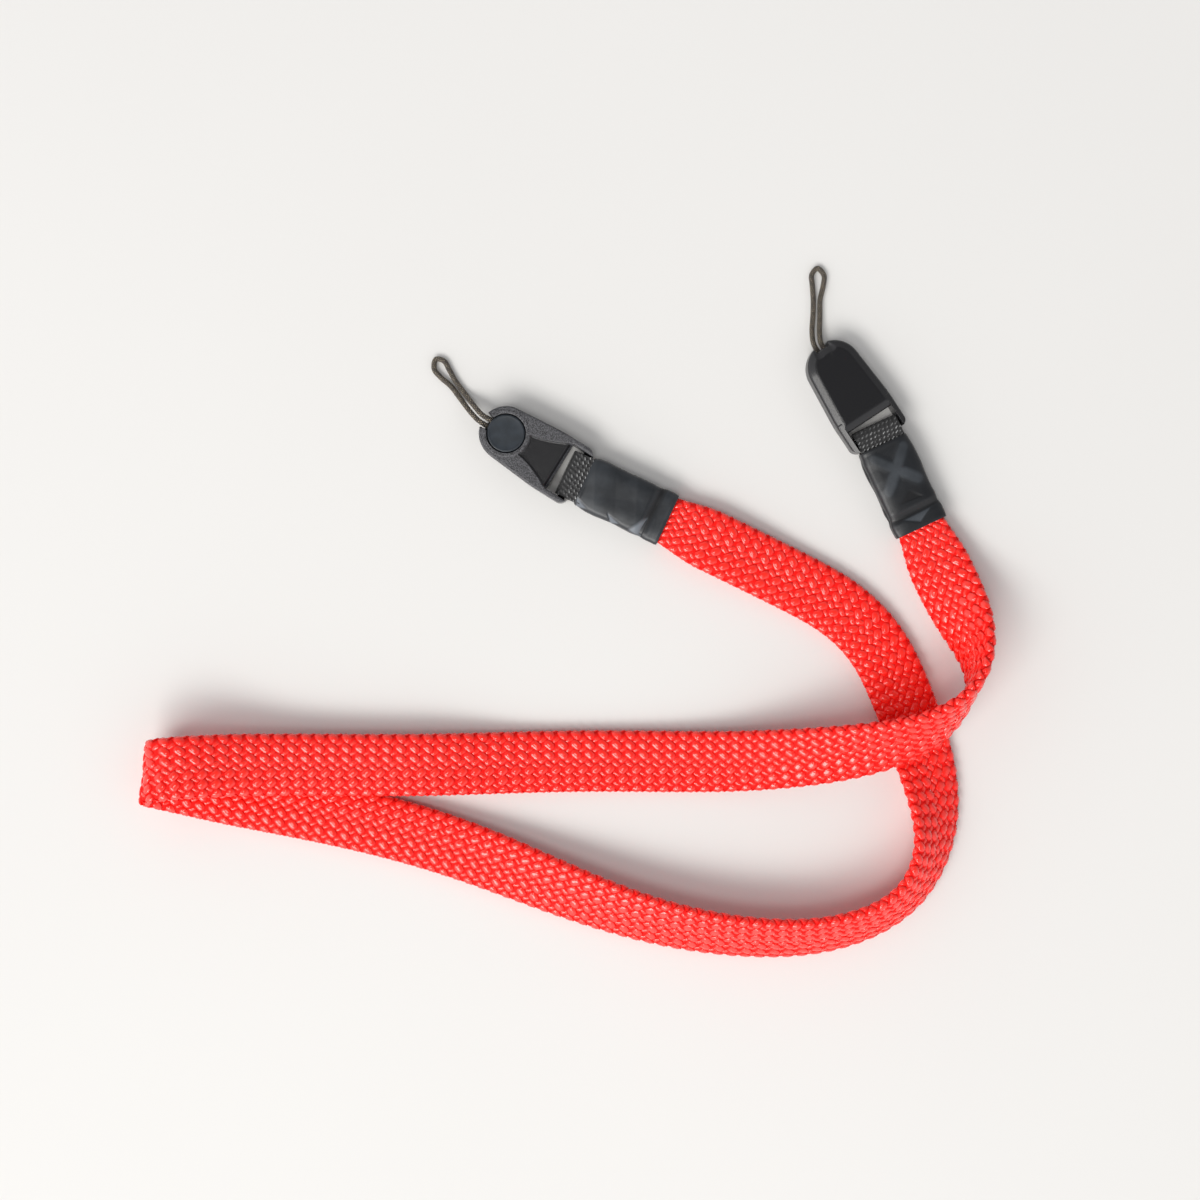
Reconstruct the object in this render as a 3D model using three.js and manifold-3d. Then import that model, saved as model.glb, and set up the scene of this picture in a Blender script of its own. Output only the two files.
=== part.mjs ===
// A neck strap for a camera, lying on a flat surface. Millimetres, +Z up.
// A wide flat braid lies in one long loop. It folds back over itself at the left, crosses over its
// own first stretch at the right and turns half over there. At each end a shrunk sleeve joins it to
// a webbing loop, which holds a plastic housing with a round anchor and a thin cord loop.
import * as THREE from 'three';
import { mergeVertices } from 'three/addons/utils/BufferGeometryUtils.js';
import Module from 'manifold-3d';

// The clearance between pieces that touch
const GAP = 0.3;

// The braid, flat and free, and where a sleeve squeezes it
const BAND_WIDTH = 24;
const BAND_THICKNESS = 5;
const BAND_END_WIDTH = 18.4;
const BAND_MOUTH_THICKNESS = 4.6;
const BAND_END_THICKNESS = 3.6;
const BAND_FAN_OUT = 18; // the braid spreads from a sleeve's mouth to its full width over this
const BAND_TAIL = 27; // the braid reaches this far into a sleeve

// The size of the plan in which the braid lies
const LAY_LENGTH = 327;
const LAY_DEPTH = 167;

// The webbing
const WEBBING_WIDTH = 18;
const WEBBING_THICKNESS = 1.4;
const WEBBING_SHOWN = 8.6; // from the sleeve to the outside of the fold
const WEBBING_TAIL = 24; // each ply reaches this far into the sleeve

// The sleeve
const SLEEVE_LENGTH = 35;
const SLEEVE_WALL = 1;
const SLEEVE_CORNER = 2; // the outer corner's radius
const SLEEVE_MOUTH_LENGTH = 6.5; // up to the crease beside the ends of the webbing

// The housing and its cross bar, which the webbing holds
const HOUSING_WIDTH = 24;
const HOUSING_TIP = 2.2; // how far the two arms reach past the bar
const HOUSING_EDGE = 1.5;
const TAIL_CORNER = 3;
const BAR_RADIUS = 1.5;
const BAR_TO_WINDOW_END = 6.6;
const BAR_TO_DISC = 30.4;
const NOSE_WALL = 2.8;
const ARM_CLEARANCE = 0.8; // the webbing can skew a little between the arms
const PANEL_DEPTH = 1.1;
const PANEL_WAIST = 6; // half widths of the sunk panel, beside the disc and at the window
const PANEL_MARGIN = 2.6;
const POCKET_FLOOR = 3.9;

// The round anchor and its cord
const DISC_RADIUS = 7.25;
const DISC_THICKNESS = 5;
const DISC_CHAMFER = 0.35;
const DISC_SUNK = 0.4; // its face lies this far below the housing's
const CORD_RADIUS = 1;
const CORD_SPACING = 2.6; // between the middles of the two strands where they leave the disc

// The webbing's plies lie outside the braid's end, and the sleeve outside the webbing
const plyInner = BAND_END_THICKNESS / 2 + GAP;
const plyOuter = plyInner + WEBBING_THICKNESS;
const foldInner = BAR_RADIUS + GAP;
const foldOuter = foldInner + WEBBING_THICKNESS;
const sleeveHeight = 2 * (plyOuter + GAP + SLEEVE_WALL);
// A housing is as high as a sleeve, so both lie flat, and all pieces share one middle plane
const housingHeight = sleeveHeight;
const midHeight = housingHeight / 2;
const layer = BAND_THICKNESS + GAP;
const endLift = (midHeight - BAND_THICKNESS / 2) / layer;

// How the braid lies, from sleeve A to sleeve B: control points of a smooth curve.
// x, y: shares of the plan's length and depth. lift: how many layers of braid lie under it.
// head: the plan direction of the braid's width, in degrees. lean: how far that side dips.
const LAY_COLUMNS = ['x', 'y', 'lift', 'head', 'lean'];
const LAY = [
  // From sleeve A to the crossing
  [0.621, 1.0, endLift, 65, 0],
  [0.689, 0.937, endLift, 65, 0],
  [0.759, 0.87, 0, 63, 0],
  [0.824, 0.806, 0, 52, 0],
  [0.869, 0.717, 0, 34, 0],
  [0.893, 0.612, 0, 22, 0],
  [0.914, 0.505, 0, 18, -3],
  // The wide bend at the lower right, with the inner edge raised
  [0.93, 0.39, 0, 8, -24],
  [0.934, 0.27, 0, -8, -47],
  [0.909, 0.15, 0, -35, -56],
  [0.853, 0.078, 0, -65, -53],
  [0.775, 0.045, 0, -82, -48],
  [0.68, 0.056, 0, -98, -43],
  [0.59, 0.093, 0, -108, -36],
  [0.495, 0.159, 0, -112, -24],
  [0.395, 0.24, 0, -110, -9],
  // The lower stretch, flat, to the fold
  [0.29, 0.302, 0, -104, 0],
  [0.185, 0.345, 0, -101, 0],
  [0.11, 0.372, 0, -100, 0],
  [0.066, 0.392, 0, -99, 0],
  // The fold at the left, standing open
  [0.033, 0.408, 0.3, -98, 0],
  [0.017, 0.424, 1.55, -96, 0],
  [0.029, 0.437, 2.95, -94, 0],
  [0.066, 0.444, 3.0, -92, 0],
  [0.117, 0.446, 2.0, -90, 0],
  // The upper stretch, over the lower one and then on the surface
  [0.18, 0.445, 1.3, -90, 0],
  [0.27, 0.443, 1.05, -90, 0],
  [0.35, 0.443, 1.05, -90, 0],
  [0.44, 0.446, 0.05, -90, 0],
  [0.53, 0.45, 0, -90, 0],
  [0.62, 0.448, 0, -89, -2],
  [0.7, 0.448, 0.2, -88, -7],
  // Over the first stretch, rising onto its edge
  [0.78, 0.461, 1.0, -86, -19],
  [0.845, 0.48, 1.7, -83, -31],
  [0.902, 0.508, 1.85, -76, -44],
  [0.948, 0.556, 1.4, -58, -60],
  // The half turn at the right, and on to sleeve B
  [0.979, 0.632, 0.6, -25, -84],
  [0.977, 0.722, 0, 10, -120],
  [0.957, 0.815, 0, 22, -158],
  [0.936, 0.905, endLift, 25, -180],
  [0.917, 0.984, endLift, 25, -180],
];
const LAY_STEP = 6.5; // the longest straight piece of the faceted braid
const LAY_TURN = 22; // and the most degrees that a piece turns
const LAY_SAMPLES = 24; // samples between two control points
const CORNER_SIDES = 2; // facets round each corner of a flat section
const BAND_ROUNDING = 0.45; // the braid's corner radius, as a share of its thickness
const EDGE_ROUNDING = 0.02; // keeps the height smooth where the lean passes zero

// The ends. flip: degrees about the strap's own direction, 180 shows the housing's back.
// turn: how far the housing has turned on the webbing, in degrees, seen from its front.
// cord: the cord loop's route from the disc, seen from the front. x: along the notch and y: to the
// left, both from the disc's middle. drop: 0 at the disc's height, 1 on the surface.
const CORD_COLUMNS = ['x', 'y', 'drop'];
const ENDS = [
  {
    name: 'a',
    atStart: true,
    flip: 0,
    turn: -6.5,
    cord: [
      [11.8, -1.35, 0],
      [16.5, -2.8, 0.45],
      [22.0, -4.9, 0.95],
      [27.6, -7.1, 1],
      [32.0, -9.5, 1],
      [35.6, -11.4, 1],
      [38.6, -10.4, 1],
      [37.3, -6.9, 1],
      [33.4, -5.4, 1],
      [28.4, -4.6, 1],
      [22.8, -2.5, 0.95],
      [17.2, -0.3, 0.45],
      [11.8, 1.25, 0],
    ],
  },
  {
    name: 'b',
    atStart: false,
    flip: 180,
    turn: -8,
    cord: [
      [11.8, -1.1, 0],
      [16.6, 1.3, 0.45],
      [21.5, 5.1, 0.95],
      [26.5, 8.5, 1],
      [31.3, 11.2, 1],
      [34.7, 13.2, 1],
      [35.6, 16.4, 1],
      [32.0, 17.0, 1],
      [28.8, 14.6, 1],
      [25.0, 10.7, 1],
      [19.9, 7.2, 0.95],
      [15.0, 3.7, 0.45],
      [11.0, 1.5, 0],
    ],
  },
];
const CORD_STEPS = 44;
const CORD_SIDES = 8;
const DISC_SIDES = 28;
const BEVEL_STEPS = 2;
const ARC_STEPS = 8;

const FINISHES = {
  braid: { color: 0xe8302c, roughness: 0.45, metalness: 0 },
  sleeve: { color: 0x17181a, roughness: 0.5, metalness: 0 },
  webbing: { color: 0x1c1c1e, roughness: 0.8, metalness: 0 },
  housing: { color: 0x18181a, roughness: 0.45, metalness: 0 },
  disc: { color: 0x1d2023, roughness: 0.5, metalness: 0 },
  cord: { color: 0x1b1a19, roughness: 0.8, metalness: 0 },
};

const { Vector2, Vector3 } = THREE;
const wasm = await Module();
wasm.setup();

const radians = THREE.MathUtils.degToRad;
const mix = THREE.MathUtils.lerp;

function mesh(name, geometry, finish) {
  const made = new THREE.Mesh(geometry, new THREE.MeshStandardMaterial(FINISHES[finish]));
  made.name = name;
  return made;
}

// The geometry as a solid that can be joined and cut
function solid(geometry) {
  const bare = geometry.clone();
  for (const name of Object.keys(bare.attributes)) {
    if (name !== 'position') bare.deleteAttribute(name);
  }
  const merged = mergeVertices(bare, 1e-4);
  return new wasm.Manifold(
    new wasm.Mesh({
      numProp: 3,
      vertProperties: merged.attributes.position.array,
      triVerts: new Uint32Array(merged.index.array),
    }),
  );
}

function geometryOf(made) {
  const { vertProperties, triVerts } = made.getMesh();
  return new THREE.BufferGeometry()
    .setAttribute('position', new THREE.BufferAttribute(vertProperties, 3))
    .setIndex(new THREE.BufferAttribute(triVerts, 1));
}

// A closed skin over a row of rings with equally many points. An open row is capped at both ends,
// and a row that returns to its first ring makes a pipe.
function loft(rings, isPipe) {
  const sides = rings[0].length;
  const points = rings.flat();
  const faces = [];
  const last = isPipe ? rings.length : rings.length - 1;
  for (let i = 0; i < last; i += 1) {
    const here = i * sides;
    const next = ((i + 1) % rings.length) * sides;
    for (let k = 0; k < sides; k += 1) {
      const side = (k + 1) % sides;
      faces.push(here + k, here + side, next + side);
      faces.push(here + k, next + side, next + k);
    }
  }
  if (!isPipe) {
    const end = (rings.length - 1) * sides;
    for (let k = 1; k < sides - 1; k += 1) {
      faces.push(0, k + 1, k);
      faces.push(end, end + k, end + k + 1);
    }
  }
  return new THREE.BufferGeometry().setFromPoints(points).setIndex(faces);
}

// A flat section with round corners: points (across, through), counter-clockwise
function flatSection(width, thickness, corner) {
  const points = [];
  const quarters = [[1, -1], [1, 1], [-1, 1], [-1, -1]];
  quarters.forEach(([across, through], quarter) => {
    for (let k = 0; k <= CORNER_SIDES; k += 1) {
      const angle = (Math.PI / 2) * (quarter - 1 + k / CORNER_SIDES);
      points.push(
        new Vector2(
          across * (width / 2 - corner) + corner * Math.cos(angle),
          through * (thickness / 2 - corner) + corner * Math.sin(angle),
        ),
      );
    }
    if (across === through) points.push(new Vector2(0, (through * thickness) / 2));
  });
  return points;
}

// A uniform cubic spline near the rows of a table, straight at both ends
function splineRows(rows, samples) {
  const last = rows.length - 1;
  const before = rows[0].map((value, c) => 2 * value - rows[1][c]);
  const after = rows[last].map((value, c) => 2 * value - rows[last - 1][c]);
  const padded = [before, ...rows, after];
  const made = [];
  for (let n = 0; n <= last * samples; n += 1) {
    const i = Math.min(Math.floor(n / samples), last - 1);
    const f = n / samples - i;
    const weights = [
      (1 - f) ** 3,
      3 * f ** 3 - 6 * f ** 2 + 4,
      -3 * f ** 3 + 3 * f ** 2 + 3 * f + 1,
      f ** 3,
    ];
    made.push(rows[0].map((_, c) => weights.reduce((sum, w, k) => sum + w * padded[i + k][c], 0) / 6));
  }
  return made;
}

// Where the braid's middle runs and which way its width points, from the table above
function layBraid() {
  const column = Object.fromEntries(LAY_COLUMNS.map((name, c) => [name, c]));
  const middles = [];
  const widths = [];
  for (const row of splineRows(LAY, LAY_SAMPLES)) {
    const head = radians(row[column.head]);
    const lean = radians(row[column.lean]);
    const rise = Math.hypot(Math.sin(lean), EDGE_ROUNDING) * (BAND_WIDTH - BAND_THICKNESS) / 2;
    middles.push(
      new Vector3(
        row[column.x] * LAY_LENGTH,
        row[column.y] * LAY_DEPTH,
        row[column.lift] * layer + rise + BAND_THICKNESS / 2,
      ),
    );
    widths.push(
      new Vector3(
        Math.cos(lean) * Math.cos(head),
        Math.cos(lean) * Math.sin(head),
        Math.sin(lean),
      ),
    );
  }
  return { middles, widths };
}

// The same, at steps that are shorter where the braid bends or turns
function layStations() {
  const { middles, widths } = layBraid();
  const tangents = middles.slice(1).map((middle, i) => middle.clone().sub(middles[i]).normalize());
  const along = [0];
  const effort = [0];
  for (let i = 1; i < middles.length; i += 1) {
    const step = middles[i].distanceTo(middles[i - 1]);
    const bend = i > 1 ? tangents[i - 1].angleTo(tangents[i - 2]) : 0;
    along.push(along[i - 1] + step);
    effort.push(effort[i - 1] + Math.hypot(step / LAY_STEP, bend / radians(LAY_TURN)));
  }
  const length = along[along.length - 1];
  const count = Math.round(effort[effort.length - 1]);
  const stations = [];
  for (let n = 0, i = 0; n <= count; n += 1) {
    const wanted = (effort[effort.length - 1] * n) / count;
    while (i < effort.length - 2 && effort[i + 1] < wanted) i += 1;
    const f = (wanted - effort[i]) / (effort[i + 1] - effort[i]);
    const across = widths[i].clone().lerp(widths[i + 1], f);
    across.addScaledVector(tangents[i], -across.dot(tangents[i])).normalize();
    const s = mix(along[i], along[i + 1], f);
    stations.push({
      s,
      toEnd: length - s,
      middle: middles[i].clone().lerp(middles[i + 1], f),
      tangent: tangents[i],
      across,
      through: tangents[i].clone().cross(across),
    });
  }
  return stations;
}

// The braid's width and thickness outside the sleeves, by the distance to the nearer mouth
function freeSize(distance) {
  const spread = THREE.MathUtils.smoothstep(distance, -BAND_FAN_OUT / 3, BAND_FAN_OUT);
  return [
    mix(BAND_END_WIDTH, BAND_WIDTH, spread),
    mix(BAND_MOUTH_THICKNESS, BAND_THICKNESS, spread),
  ];
}

// The braid inside a sleeve: how deep in it is, its width and its thickness, from the mouth inwards
function tailSizes() {
  const crease = SLEEVE_MOUTH_LENGTH;
  const flat = (BAND_MOUTH_THICKNESS + BAND_END_THICKNESS) / 2;
  return [
    [GAP, BAND_END_WIDTH, BAND_MOUTH_THICKNESS],
    [crease, BAND_END_WIDTH, flat],
    [crease + (SLEEVE_LENGTH - WEBBING_TAIL - crease) / 2, BAND_END_WIDTH, BAND_END_THICKNESS],
    [BAND_TAIL, BAND_END_WIDTH, BAND_END_THICKNESS],
  ];
}

function ring(middle, across, through, width, thickness) {
  return flatSection(width, thickness, BAND_ROUNDING * thickness).map((p) =>
    middle.clone().addScaledVector(across, p.x).addScaledVector(through, p.y),
  );
}

function braidGeometry(stations) {
  const first = stations[0];
  const last = stations[stations.length - 1];
  const tail = (station, direction) =>
    tailSizes().map(([depth, width, thickness]) => {
      const middle = station.middle.clone().addScaledVector(station.tangent, direction * depth);
      return ring(middle, station.across, station.through, width, thickness);
    });
  // Within the first step the mouth's own size holds
  const free = stations.map((station) => {
    const [width, thickness] = freeSize(Math.min(station.s, station.toEnd));
    return ring(station.middle, station.across, station.through, width, thickness);
  });
  free[0] = ring(first.middle, first.across, first.through, BAND_END_WIDTH, BAND_MOUTH_THICKNESS);
  free[free.length - 1] = ring(
    last.middle, last.across, last.through, BAND_END_WIDTH, BAND_MOUTH_THICKNESS,
  );
  return loft([...tail(first, -1).reverse(), ...free, ...tail(last, 1)], false);
}

// The pieces of one end stand in a frame of their own: x runs from the sleeve's mouth towards the
// housing, z out of the housing's front, and z = 0 is the middle plane.

function sleeveGeometry() {
  const crease = SLEEVE_MOUTH_LENGTH;
  const tailStart = SLEEVE_LENGTH - WEBBING_TAIL - GAP;
  const widest = Math.max(BAND_END_WIDTH, WEBBING_WIDTH);
  const webbed = [widest + 2 * GAP, 2 * (plyOuter + GAP)];
  const mouth = [BAND_END_WIDTH + 2 * GAP, BAND_MOUTH_THICKNESS + 2 * GAP];
  // Distance from the mouth, and the width and height of the hollow
  const hollow = [
    [0, ...mouth],
    [crease * 0.75, ...mouth],
    [tailStart, ...webbed],
    [(tailStart + SLEEVE_LENGTH) / 2, ...webbed],
    [SLEEVE_LENGTH, ...webbed],
  ];
  const skin = ([x, width, height], wall, corner) =>
    flatSection(width + 2 * wall, height + 2 * wall, corner).map((p) => new Vector3(x, p.x, p.y));
  const outside = hollow.map((row) => skin(row, SLEEVE_WALL, SLEEVE_CORNER));
  const inside = hollow.map((row) => skin(row, 0, SLEEVE_CORNER / 4));
  return loft([...outside, ...inside.reverse()], true);
}

// Where the bar's middle lies along x, and the middle of the webbing's fold ahead of it: the
// housing can turn on the webbing, and the bar touches the fold on one side only
function foldMiddle() {
  return SLEEVE_LENGTH + WEBBING_SHOWN - foldOuter;
}

function barMiddle(end) {
  return foldMiddle() - (WEBBING_WIDTH / 2) * Math.abs(Math.sin(radians(end.turn)));
}

function webbingGeometry() {
  const tip = SLEEVE_LENGTH - WEBBING_TAIL;
  const fold = foldMiddle();
  const outline = new THREE.Shape();
  outline.moveTo(tip, plyInner);
  outline.lineTo(SLEEVE_LENGTH, plyInner);
  outline.lineTo(fold, foldInner);
  outline.absarc(fold, 0, foldInner, Math.PI / 2, -Math.PI / 2, true);
  outline.lineTo(SLEEVE_LENGTH, -plyInner);
  outline.lineTo(tip, -plyInner);
  outline.lineTo(tip, -plyOuter);
  outline.lineTo(SLEEVE_LENGTH, -plyOuter);
  outline.lineTo(fold, -foldOuter);
  outline.absarc(fold, 0, foldOuter, -Math.PI / 2, Math.PI / 2, false);
  outline.lineTo(SLEEVE_LENGTH, plyOuter);
  outline.lineTo(tip, plyOuter);
  return new THREE.ExtrudeGeometry(outline, {
    depth: WEBBING_WIDTH,
    bevelEnabled: false,
    curveSegments: ARC_STEPS,
  })
    .translate(0, 0, -WEBBING_WIDTH / 2)
    .rotateX(Math.PI / 2);
}

// The housing's frame: the bar's middle is its origin, and x runs to the nose

function housingOutline() {
  const nose = DISC_RADIUS + GAP + NOSE_WALL;
  const half = HOUSING_WIDTH / 2;
  const shoulder = new Vector2(BAR_TO_WINDOW_END + nose / 2, half);
  // The straight side touches the nose's arc at this angle
  const away = shoulder.clone().sub(new Vector2(BAR_TO_DISC, 0));
  const touch = away.angle() - Math.acos(nose / away.length());
  const outline = new THREE.Shape();
  outline.moveTo(shoulder.x, half);
  outline.lineTo(-HOUSING_TIP + TAIL_CORNER, half);
  outline.absarc(-HOUSING_TIP + TAIL_CORNER, half - TAIL_CORNER, TAIL_CORNER, Math.PI / 2, Math.PI);
  outline.lineTo(-HOUSING_TIP, TAIL_CORNER - half);
  outline.absarc(
    -HOUSING_TIP + TAIL_CORNER, TAIL_CORNER - half, TAIL_CORNER, Math.PI, 1.5 * Math.PI,
  );
  outline.lineTo(shoulder.x, -half);
  outline.absarc(BAR_TO_DISC, 0, nose, -touch, touch);
  return outline;
}

// The sunk panel between the disc and the window, narrow at the disc
function panelOutline() {
  const wide = HOUSING_WIDTH / 2 - PANEL_MARGIN;
  const start = BAR_TO_WINDOW_END - 1;
  const corner = BAR_TO_WINDOW_END + PANEL_MARGIN;
  const outline = new THREE.Shape();
  outline.moveTo(start, -wide);
  outline.lineTo(corner, -wide);
  outline.quadraticCurveTo(BAR_TO_DISC - DISC_RADIUS - PANEL_MARGIN, -PANEL_WAIST, BAR_TO_DISC, -PANEL_WAIST);
  outline.lineTo(BAR_TO_DISC, PANEL_WAIST);
  outline.quadraticCurveTo(BAR_TO_DISC - DISC_RADIUS - PANEL_MARGIN, PANEL_WAIST, corner, wide);
  outline.lineTo(start, wide);
  return outline;
}

function block(x0, x1, halfWidth, z0, z1) {
  const box = new THREE.BoxGeometry(x1 - x0, 2 * halfWidth, z1 - z0);
  return solid(box.translate((x0 + x1) / 2, 0, (z0 + z1) / 2));
}

function housingGeometry() {
  const half = housingHeight / 2;
  const over = 1; // how far a cutter reaches past the face that it opens
  const armInner = WEBBING_WIDTH / 2 + ARM_CLEARANCE;
  const floor = POCKET_FLOOR - half;
  const body = solid(
    new THREE.ExtrudeGeometry(housingOutline(), {
      depth: housingHeight - 2 * HOUSING_EDGE,
      bevelThickness: HOUSING_EDGE,
      bevelSize: HOUSING_EDGE,
      bevelOffset: -HOUSING_EDGE,
      bevelSegments: BEVEL_STEPS,
      curveSegments: ARC_STEPS,
    }).translate(0, 0, HOUSING_EDGE - half),
  );
  const window = block(-HOUSING_TIP - over, BAR_TO_WINDOW_END, armInner, -half - over, half + over);
  const bar = solid(
    new THREE.CylinderGeometry(BAR_RADIUS, BAR_RADIUS, 2 * armInner + over, 2 * ARC_STEPS),
  );
  const pocket = solid(
    new THREE.CylinderGeometry(DISC_RADIUS + GAP, DISC_RADIUS + GAP, half - floor + over, DISC_SIDES)
      .rotateX(Math.PI / 2)
      .translate(BAR_TO_DISC, 0, (half + floor + over) / 2),
  );
  const notchWidth = CORD_SPACING / 2 + CORD_RADIUS + 2 * GAP;
  const noseEnd = BAR_TO_DISC + DISC_RADIUS + GAP + NOSE_WALL;
  const notch = block(BAR_TO_DISC, noseEnd + over, notchWidth, floor, half + over);
  const panel = solid(
    new THREE.ExtrudeGeometry(panelOutline(), {
      depth: PANEL_DEPTH + over,
      bevelEnabled: false,
      curveSegments: ARC_STEPS,
    }).translate(0, 0, half - PANEL_DEPTH),
  );
  return geometryOf(
    body.subtract(window).add(bar).subtract(pocket).subtract(notch).subtract(panel),
  );
}

function discGeometry() {
  const top = housingHeight / 2 - DISC_SUNK;
  const bottom = top - DISC_THICKNESS;
  const r = DISC_RADIUS;
  const c = DISC_CHAMFER;
  const profile = [
    [0, bottom], [r - c, bottom], [r, bottom + c], [r, top - c], [r - c, top], [0, top],
  ].map(([x, y]) => new Vector2(x, y));
  return new THREE.LatheGeometry(profile, DISC_SIDES).rotateX(Math.PI / 2);
}

// A cord loop: both ends meet the disc's rim side by side, in the notch
function cordGeometry(end) {
  const column = Object.fromEntries(CORD_COLUMNS.map((name, c) => [name, c]));
  const discMiddle = housingHeight / 2 - DISC_SUNK - DISC_THICKNESS / 2;
  const onSurface = (end.flip ? 1 : -1) * (housingHeight / 2 - CORD_RADIUS);
  const start = DISC_RADIUS + GAP;
  const rows = [
    [start, -CORD_SPACING / 2, 0],
    ...end.cord,
    [start, CORD_SPACING / 2, 0],
  ];
  const route = new THREE.CatmullRomCurve3(
    rows.map((row) =>
      new Vector3(row[column.x], row[column.y], mix(discMiddle, onSurface, row[column.drop])),
    ),
    false,
    'centripetal',
  );
  const section = new THREE.Shape();
  for (let k = 0; k < CORD_SIDES; k += 1) {
    const angle = (2 * Math.PI * k) / CORD_SIDES;
    const point = [CORD_RADIUS * Math.cos(angle), CORD_RADIUS * Math.sin(angle)];
    if (k === 0) section.moveTo(...point);
    else section.lineTo(...point);
  }
  return new THREE.ExtrudeGeometry(section, { steps: CORD_STEPS, extrudePath: route });
}

// One end of the strap, standing at the braid's first or last station
function strapEnd(end, stations) {
  const station = end.atStart ? stations[0] : stations[stations.length - 1];
  const outward = station.tangent.clone().multiplyScalar(end.atStart ? -1 : 1);
  const frame = new THREE.Group();
  frame.position.set(station.middle.x, station.middle.y, midHeight);
  frame.rotation.set(radians(end.flip), 0, Math.atan2(outward.y, outward.x), 'ZYX');
  frame.add(mesh(`sleeve_${end.name}`, sleeveGeometry(), 'sleeve'));
  frame.add(mesh(`webbing_loop_${end.name}`, webbingGeometry(), 'webbing'));

  const catchFrame = new THREE.Group();
  catchFrame.position.set(barMiddle(end), 0, 0);
  catchFrame.rotation.z = radians(end.turn);
  catchFrame.add(mesh(`housing_${end.name}`, housingGeometry(), 'housing'));

  const discFrame = new THREE.Group();
  discFrame.position.set(BAR_TO_DISC, 0, 0);
  discFrame.add(mesh(`anchor_disc_${end.name}`, discGeometry(), 'disc'));
  discFrame.add(mesh(`anchor_cord_${end.name}`, cordGeometry(end), 'cord'));

  catchFrame.add(discFrame);
  frame.add(catchFrame);
  return frame;
}

// The whole strap stands on z = 0, centred on the box of everything but the two thin cords
function assemble() {
  const stations = layStations();
  const strap = new THREE.Group();
  const lay = new THREE.Group();
  lay.add(mesh('braid_band', braidGeometry(stations), 'braid'));
  for (const end of ENDS) lay.add(strapEnd(end, stations));
  strap.add(lay);
  strap.updateMatrixWorld(true);
  const box = new THREE.Box3();
  lay.traverse((piece) => {
    if (piece.isMesh && !piece.name.startsWith('anchor_cord')) box.expandByObject(piece, true);
  });
  const middle = box.getCenter(new Vector3());
  lay.position.set(-middle.x, -middle.y, -box.min.z);
  return strap;
}

export default assemble();
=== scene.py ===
# %% [markdown]
# A camera neck strap, seen from straight above. A wide flat red braid lies in one long loop on a
# pale table. At each end a shrunk black sleeve holds a short webbing, a plastic housing hangs on
# the webbing, and a round anchor with a thin cord loop clips into the housing. The solid model
# comes in first. The scene is in metres and in the solid model's own frame, so nothing has to be
# fitted afterwards.

# %% The solid model
import math
import bpy
import numpy as np
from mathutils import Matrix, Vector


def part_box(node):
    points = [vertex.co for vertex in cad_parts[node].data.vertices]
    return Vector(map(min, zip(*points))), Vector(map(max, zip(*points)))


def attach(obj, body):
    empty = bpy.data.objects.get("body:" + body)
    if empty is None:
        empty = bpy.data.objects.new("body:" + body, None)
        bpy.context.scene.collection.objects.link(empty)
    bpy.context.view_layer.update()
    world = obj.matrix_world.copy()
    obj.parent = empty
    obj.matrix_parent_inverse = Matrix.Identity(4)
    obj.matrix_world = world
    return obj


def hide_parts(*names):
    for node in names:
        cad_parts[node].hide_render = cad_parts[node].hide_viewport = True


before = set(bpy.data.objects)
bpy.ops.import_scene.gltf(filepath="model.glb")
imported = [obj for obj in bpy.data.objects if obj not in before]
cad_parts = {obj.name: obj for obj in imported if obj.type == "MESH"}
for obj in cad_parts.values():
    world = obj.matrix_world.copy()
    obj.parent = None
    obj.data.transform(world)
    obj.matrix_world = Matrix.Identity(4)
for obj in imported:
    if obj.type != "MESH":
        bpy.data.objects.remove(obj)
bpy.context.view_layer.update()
MM = 0.001

# %% [markdown]
# The photograph looks straight down, so the camera hangs over the strap with its upper side towards
# +Y and needs no turning. The frame takes in 461 mm of the table from 650 mm above it.

# %% The camera
CAMERA_PLACE = (0.0131, 0.0192, 0.650)
FRAME_SHOWN = 0.4615
SENSOR = 36  # mm


def in_scene(name, data):
    """A new object of the scene that shows this data."""
    made = bpy.data.objects.new(name, data)
    bpy.context.scene.collection.objects.link(made)
    return made


camera_data = bpy.data.cameras.new("overhead_camera")
camera_data.sensor_width = SENSOR
camera_data.lens = SENSOR * CAMERA_PLACE[2] / FRAME_SHOWN
camera = in_scene("overhead_camera", camera_data)
camera.location = CAMERA_PLACE
bpy.context.scene.camera = camera
print("lens, mm:", round(camera_data.lens, 1))

# %% [markdown]
# Every piece is a grid of points: one parameter runs along it and the other round it. One helper
# turns such a grid into a mesh. It also finds the outside, by adding up the volume under all faces:
# if the sum is negative, the faces are turned over.

# %% From a grid of points to a mesh


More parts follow.
